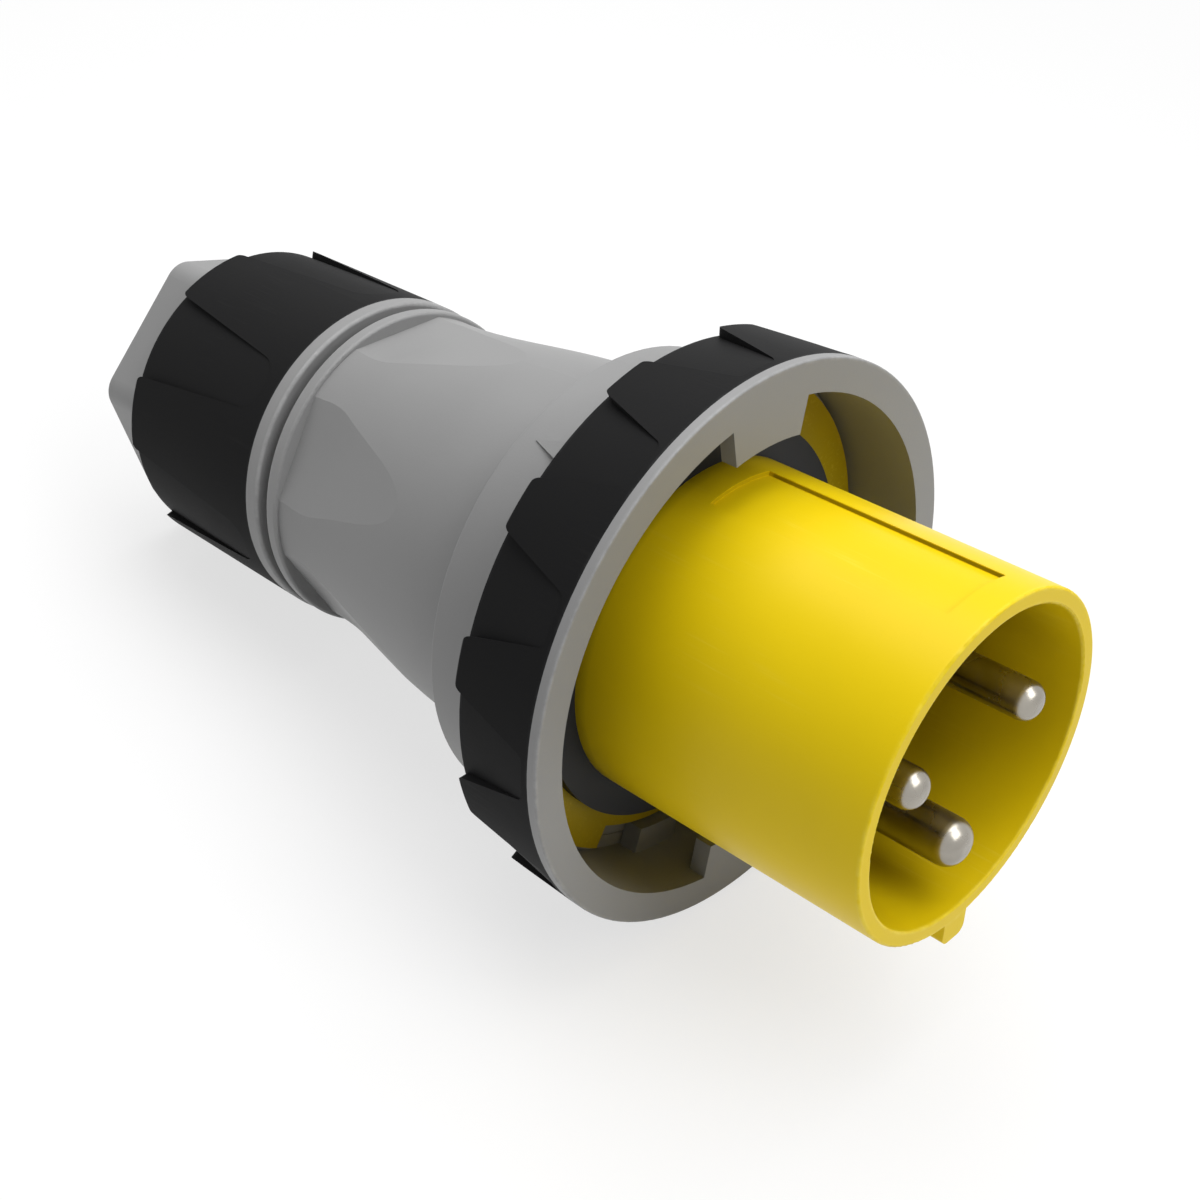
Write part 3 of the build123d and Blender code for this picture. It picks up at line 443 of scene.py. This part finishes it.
def moulded(label, base, sizes, roughness, grain, depth, specular=0.5, drift=0.06, worn=None,
            wear=0.0, rims=(), scuffs=0.0, recess_shading=False):
    """Moulded plastic or rubber: grain, slow drift of tone, painted shade in recesses, rubbed
    lines and worn edges
    """
    material, nodes, shader = blank_material(label, base)
    texture = effect(nodes, "grain", {"Grain": grain / sizes.grain_size})
    shade = nodes.remap(texture["Tone"], DRIFT_FROM, DRIFT_TO)
    tone = nodes.mix(shade, toned(base, 1 - drift), toned(base, 1 + drift))
    specks = nodes.times(texture["Specks"], SPECK_STRENGTH)
    tone = nodes.mix(specks, tone, toned(base, SPECK_TONE))
    rough = nodes.remap(texture["Tone"], DRIFT_FROM, DRIFT_TO,
                        roughness - SMOOTHER, roughness + ROUGHER)
    if recess_shading:
        # Painted shade: darkens the colour in the shroud's recesses, where shade falls
        tone = nodes.mix(painted_recess_shade(nodes, texture["Tone"]), tone, toned(base, PAINTED_SHADE_TONE))
    if scuffs:
        rubbed = effect(nodes, "scuffs", {"Fineness": SCUFF_FINENESS})
        tone = nodes.mix(nodes.times(rubbed["Lines"], scuffs), tone, rgba(worn))
        dulled = nodes.times(rubbed["Patches"], SCUFF_ROUGHNESS * scuffs)
        rough = nodes.math("ADD", rough, dulled)
    if rims:
        edge = worn_edges(nodes, rims, sizes.wear_width, texture["Breaks"], wear)
        tone = nodes.mix(edge, tone, rgba(worn))
        rough = nodes.math("ADD", rough, nodes.times(edge, -EDGE_POLISH))
    nodes.put(tone, shader.inputs["Base Color"])
    nodes.put(rough, shader.inputs["Roughness"])
    shader.inputs["Specular IOR Level"].default_value = specular
    bumped(nodes, shader, depth, GRAIN_HEIGHT, texture["Height"])
    return material


def metal(label, base, roughness, rings, depth):
    """Turned metal with a plating: fine rings and smears"""
    material, nodes, shader = blank_material(label, base)
    marks = effect(nodes, "turning", {"Rings": rings})
    smeared = nodes.remap(marks["Streaks"], SMEARS_FROM, SMEARS_TO)
    rough = nodes.remap(marks["Streaks"], DRIFT_FROM, DRIFT_TO,
                        roughness - METAL_SMOOTHER, roughness + METAL_ROUGHER)
    nodes.put(nodes.mix(smeared, toned(base, SMEAR_TONE), rgba(base)), shader.inputs["Base Color"])
    nodes.put(rough, shader.inputs["Roughness"])
    shader.inputs["Metallic"].default_value = 1.0
    bumped(nodes, shader, depth, RING_HEIGHT, marks["Height"])
    return material


FINISHES = {}


def make_finishes(sizes, colours):
    GROUPS["grain"] = grain_group()
    GROUPS["rim"] = rim_group()
    GROUPS["scuffs"] = scuff_group()
    GROUPS["turning"] = turning_group()
    for name, look in MOULDINGS.items():
        FINISHES[name] = moulded(base=getattr(colours, name), sizes=sizes, **look)
    for name, look in METALS.items():
        FINISHES[name] = metal(base=getattr(colours, name), **look)


def dress(finish, *names):
    """Gives CAD nodes one of the finishes"""
    for name in names:
        for slot in frame["nodes"][name].material_slots:
            slot.link = "OBJECT"
            slot.material = FINISHES[finish]


# Geometry Nodes helpers
def new_geometry_tree(name, inputs):
    tree = bpy.data.node_groups.new(name, "GeometryNodeTree")
    tree.interface.new_socket(
        name="Geometry", in_out="INPUT", socket_type="NodeSocketGeometry")
    for label, kind in inputs.items():
        tree.interface.new_socket(name=label, in_out="INPUT", socket_type=kind)
    tree.interface.new_socket(
        name="Geometry", in_out="OUTPUT", socket_type="NodeSocketGeometry")
    nodes = Nodes(tree)
    return nodes, nodes.add("NodeGroupInput"), nodes.add("NodeGroupOutput")


def plain_piece(name, tree, values, body):
    """Runs a Geometry Nodes tree on an empty mesh and keeps the result as a plain mesh"""
    source = bpy.data.objects.new(name, bpy.data.meshes.new(name))
    bpy.context.scene.collection.objects.link(source)
    modifier = source.modifiers.new("Shape", "NODES")
    modifier.node_group = tree
    for item in tree.interface.items_tree:
        if item.item_type == "SOCKET" and item.in_out == "INPUT" and item.name in values:
            modifier[item.identifier] = values[item.name]
    seen = source.evaluated_get(bpy.context.evaluated_depsgraph_get())
    mesh = bpy.data.meshes.new_from_object(seen)
    mesh.name = name
    mesh.transform(PLUG)
    bpy.data.objects.remove(source)
    piece = bpy.data.objects.new(name, mesh)
    bpy.context.scene.collection.objects.link(piece)
    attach(piece, body)


def thread_tree():
    """Trapezium ridge that winds about X from front to rear and fades out at both ends"""
    number = "NodeSocketFloat"
    nodes, start, end = new_geometry_tree("Thread ridge", {
        "Radius": number, "Pitch": number, "Front": number, "Rear": number, "Depth": number,
        "Shift": number, "Inner width": number, "Outer width": number,
        "Material": "NodeSocketMaterial"})
    given = start.outputs
    run = nodes.math("SUBTRACT", given["Front"], given["Rear"])
    turns = nodes.math("DIVIDE", run, given["Pitch"])
    helix = nodes.add("GeometryNodeCurveSpiral", {
        "Resolution": POINTS_A_TURN, "Rotations": turns, "Start Radius": given["Radius"],
        "End Radius": given["Radius"], "Height": run, "Reverse": True})
    upright = nodes.add("GeometryNodeSetCurveNormal", {"Curve": helix.outputs[0]}, mode="Z_UP")

    share = nodes.add("GeometryNodeSplineParameter").outputs["Factor"]
    rest = nodes.math("SUBTRACT", 1.0, share)
    nearest = nodes.times(nodes.math("MINIMUM", share, rest), nodes.times(turns, FADES_A_TURN))
    fade = nodes.remap(nearest, 0.0, 1.0, THINNEST_RIDGE, 1.0)
    faded = nodes.add("GeometryNodeSetCurveRadius", {"Curve": upright.outputs[0], "Radius": fade})

    section = nodes.add("GeometryNodeCurvePrimitiveQuadrilateral", {
        "Bottom Width": given["Inner width"], "Top Width": given["Outer width"], "Offset": 0.0,
        "Height": given["Depth"]}, mode="TRAPEZOID")
    lift = nodes.add("ShaderNodeCombineXYZ", {"X": given["Shift"]})
    outwards = nodes.add("GeometryNodeTransform", {
        "Geometry": section.outputs[0], "Translation": lift.outputs[0],
        "Rotation": (0.0, 0.0, -math.pi / 2)})
    ridge = nodes.add("GeometryNodeCurveToMesh", {
        "Curve": faded.outputs[0], "Profile Curve": outwards.outputs[0], "Fill Caps": True})

    laid = nodes.add("GeometryNodeTransform", {
        "Geometry": ridge.outputs[0], "Rotation": (0.0, -math.pi / 2, 0.0)})
    offset = nodes.add("ShaderNodeCombineXYZ", {"X": given["Front"]})
    moved = nodes.add("GeometryNodeTransform", {
        "Geometry": laid.outputs[0], "Translation": offset.outputs[0]})
    real = nodes.add("GeometryNodeRealizeInstances", {"Geometry": moved.outputs[0]})
    finished = nodes.add("GeometryNodeSetMaterial", {
        "Geometry": real.outputs[0], "Material": given["Material"]})
    nodes.put(finished.outputs[0], end.inputs[0])
    return nodes.tree


# Operators: one for each piece or group of like pieces
class PLUG_OT_finishes(bpy.types.Operator):
    """Builds the finishes of all pieces"""
    bl_idname = "plug.finishes"
    bl_label = "Finishes"

    def execute(self, context):
        make_finishes(context.scene.plug_sizes, context.scene.plug_colours)
        return {"FINISHED"}


class PLUG_OT_shroud(bpy.types.Operator):
    """Dresses the yellow shroud"""
    bl_idname = "plug.shroud"
    bl_label = "Shroud"

    def execute(self, context):
        dress("yellow", "front_shroud")
        return {"FINISHED"}


class PLUG_OT_pins(bpy.types.Operator):
    """Dresses the three contact pins"""
    bl_idname = "plug.pins"
    bl_label = "Contact pins"

    def execute(self, context):
        dress("nickel", "line_pin_1", "line_pin_2", "earth_pin")
        return {"FINISHED"}


class PLUG_OT_screws(bpy.types.Operator):
    """Dresses the terminal, carrier and flange screws"""
    bl_idname = "plug.screws"
    bl_label = "Screws"

    def execute(self, context):
        dress("zinc", "line_1_terminal_screws", "line_2_terminal_screws",
              "earth_terminal_screws", "carrier_screws", "flange_screws")
        return {"FINISHED"}


class PLUG_OT_inside(bpy.types.Operator):
    """Dresses the contact carrier, the clamp cage and the slip ring"""
    bl_idname = "plug.inside"
    bl_label = "Inner pieces"

    def execute(self, context):
        dress("carrier", "contact_carrier")
        dress("nylon", "clamp_cage", "slip_ring")
        return {"FINISHED"}


class PLUG_OT_seals(bpy.types.Operator):
    """Dresses the gasket, the flange seal and the cable seal"""
    bl_idname = "plug.seals"
    bl_label = "Seals"

    def execute(self, context):
        dress("rubber", "face_gasket", "flange_seal", "cable_seal")
        return {"FINISHED"}


class PLUG_OT_shells(bpy.types.Operator):
    """Dresses the grey housing, locking ring and gland nut"""
    bl_idname = "plug.shells"
    bl_label = "Grey shells"

    def execute(self, context):
        dress("grey", "housing", "housing_neck", "locking_ring", "gland_nut")
        return {"FINISHED"}


class PLUG_OT_grips(bpy.types.Operator):
    """Dresses the soft grips of the ring and the nut"""
    bl_idname = "plug.grips"
    bl_label = "Soft grips"

    def execute(self, context):
        dress("black", "ring_grip", "nut_grip")
        return {"FINISHED"}


class PLUG_OT_threads(bpy.types.Operator):
    """Winds the thread on the housing's neck and its mate in the gland nut"""
    bl_idname = "plug.threads"
    bl_label = "Threads"

    def execute(self, context):
        sizes = context.scene.plug_sizes
        tree = thread_tree()
        root = THREAD_ROOT_SHARE * sizes.thread_pitch
        crest = THREAD_CREST_SHARE * sizes.thread_pitch
        shift = (sizes.thread_height - THREAD_SINK) / 2
        shared = {"Pitch": sizes.thread_pitch, "Depth": sizes.thread_height + THREAD_SINK,
                  "Material": FINISHES["grey"]}
        neck = {"Radius": sizes.neck_thread_radius, "Front": sizes.neck_thread_front,
                "Rear": sizes.neck_thread_rear, "Shift": shift, "Inner width": root,
                "Outer width": crest}
        nut = {"Radius": sizes.nut_thread_radius, "Front": sizes.nut_thread_front,
               "Rear": sizes.nut_thread_rear, "Shift": -shift, "Inner width": crest,
               "Outer width": root}
        plain_piece("neck_thread", tree, shared | neck, "plug_body")
        plain_piece("nut_thread", tree, shared | nut, "gland_nut")
        return {"FINISHED"}


# Studio
def area_lamp(name, place, target, size, power):
    """Soft square lamp, placed and aimed in the plug's own axes"""
    data = bpy.data.lights.new(name, "AREA")
    data.size = size
    data.energy = power
    lamp = bpy.data.objects.new(name, data)
    bpy.context.scene.collection.objects.link(lamp)
    eye = PLUG @ Vector(place)
    aim = PLUG @ Vector(target)
    lamp.location = eye
    lamp.rotation_euler = (aim - eye).to_track_quat("-Z", "Y").to_euler()


def seen_rays(nodes):
    """One where the camera sees a surface, directly, in gloss or through glass"""
    rays = nodes.add("ShaderNodeLightPath").outputs
    mirrored = nodes.most(rays["Is Glossy Ray"], rays["Is Transmission Ray"])
    return nodes.most(rays["Is Camera Ray"], mirrored)


def floor_material(base):
    """Pale floor that keeps the plug's shadow near it and turns white towards the horizon"""
    material, nodes, shader = blank_material("Studio floor", base)
    where = nodes.add("ShaderNodeTexCoord").outputs["Object"]
    spots = nodes.add("ShaderNodeTexNoise", {"Vector": where, "Scale": FLOOR_SPOT_SCALE})
    tint = nodes.mix(spots.outputs["Fac"], toned(base, FLOOR_SPOT_TONE), rgba(base))
    nodes.put(tint, shader.inputs["Base Color"])
    shader.inputs["Roughness"].default_value = FLOOR_ROUGHNESS
    shader.inputs["Specular IOR Level"].default_value = FLOOR_SPECULAR
    glow = nodes.add("ShaderNodeEmission", {"Color": (1, 1, 1, 1), "Strength": 1.0})
    away = nodes.add("ShaderNodeVectorMath", {0: where}, operation="LENGTH").outputs["Value"]
    share = nodes.times(seen_rays(nodes), nodes.remap(away, *GLOW_RANGE, GLOW_NEAR, 1.0))
    both = nodes.add("ShaderNodeMixShader", {0: share, 1: shader.outputs[0], 2: glow.outputs[0]})
    end = next(n for n in nodes.tree.nodes if n.type == "OUTPUT_MATERIAL")
    nodes.put(both.outputs[0], end.inputs["Surface"])
    return material


def lay_floor(base):
    """Large square floor, which is no part of the plug"""
    mesh = bpy.data.meshes.new("floor")
    corners = [(-FLOOR_HALF, -FLOOR_HALF, 0), (FLOOR_HALF, -FLOOR_HALF, 0),
               (FLOOR_HALF, FLOOR_HALF, 0), (-FLOOR_HALF, FLOOR_HALF, 0)]
    mesh.from_pydata(corners, [], [(0, 1, 2, 3)])
    mesh.materials.append(floor_material(base))
    floor = bpy.data.objects.new("floor", mesh)
    bpy.context.scene.collection.objects.link(floor)


def light_sky():
    """White sky that is dimmer on the plug than where it is seen"""
    world = bpy.data.worlds.new("Studio")
    bpy.context.scene.world = world
    world.use_nodes = True
    world.node_tree.nodes.clear()
    nodes = Nodes(world.node_tree)
    strength = nodes.remap(seen_rays(nodes), 0.0, 1.0, SKY_ON_OBJECT, 1.0)
    sky = nodes.add("ShaderNodeBackground", {"Color": (1, 1, 1, 1), "Strength": strength})
    nodes.put(sky.outputs[0], nodes.add("ShaderNodeOutputWorld").inputs["Surface"])


def place_camera(studio):
    """Camera with the photo's view, placed in the plug's own axes"""
    data = bpy.data.cameras.new("Camera")
    data.sensor_fit = "HORIZONTAL"
    data.sensor_width = SENSOR_WIDTH
    data.lens = studio.lens
    data.shift_x, data.shift_y = studio.shift
    data.clip_start = CLIP_START
    camera = bpy.data.objects.new("Camera", data)
    bpy.context.scene.collection.objects.link(camera)
    right = Vector(CAMERA_RIGHT).normalized()
    up = Vector(CAMERA_UP).normalized()
    turn = Matrix((right, up, right.cross(up))).transposed().to_4x4()
    camera.matrix_world = PLUG @ Matrix.Translation(Vector(studio.eye)) @ turn
    bpy.context.scene.camera = camera


class PLUG_OT_studio(bpy.types.Operator):
    """Lays the floor, hangs the lamps and places the camera"""
    bl_idname = "plug.studio"
    bl_label = "Studio"

    def execute(self, context):
        lay_floor(context.scene.plug_studio.floor)
        light_sky()
        for name, lamp in LAMPS.items():
            area_lamp(name, **lamp)
        place_camera(context.scene.plug_studio)
        context.scene.view_settings.view_transform = "Standard"
        return {"FINISHED"}


OPERATORS = (PLUG_OT_finishes, PLUG_OT_shroud, PLUG_OT_pins, PLUG_OT_screws, PLUG_OT_inside,
             PLUG_OT_seals, PLUG_OT_shells, PLUG_OT_grips, PLUG_OT_threads, PLUG_OT_studio)


class PLUG_PT_panel(bpy.types.Panel):
    """Lists the plug's sizes, colours and building steps"""
    bl_idname = "PLUG_PT_panel"
    bl_label = "Industrial plug"
    bl_space_type = "VIEW_3D"
    bl_region_type = "UI"
    bl_category = "Plug"

    def draw(self, context):
        scene = context.scene
        for group in (scene.plug_sizes, scene.plug_colours, scene.plug_studio):
            for key in group.__annotations__:
                self.layout.prop(group, key)
        for operator in OPERATORS:
            self.layout.operator(operator.bl_idname)


CLASSES = (PlugSizes, PlugColours, PlugStudio) + OPERATORS + (PLUG_PT_panel,)


def register():
    for item in CLASSES:
        bpy.utils.register_class(item)
    bpy.types.Scene.plug_sizes = bpy.props.PointerProperty(type=PlugSizes)
    bpy.types.Scene.plug_colours = bpy.props.PointerProperty(type=PlugColours)
    bpy.types.Scene.plug_studio = bpy.props.PointerProperty(type=PlugStudio)


def unregister():
    del bpy.types.Scene.plug_studio
    del bpy.types.Scene.plug_colours
    del bpy.types.Scene.plug_sizes
    for item in reversed(CLASSES):
        bpy.utils.unregister_class(item)


def main():
    register()
    bpy.ops.plug.studio()
    bpy.ops.plug.finishes()
    bpy.ops.plug.shroud()
    bpy.ops.plug.pins()
    bpy.ops.plug.screws()
    bpy.ops.plug.inside()
    bpy.ops.plug.seals()
    bpy.ops.plug.shells()
    bpy.ops.plug.grips()
    bpy.ops.plug.threads()


if __name__ == "__main__":
    main()
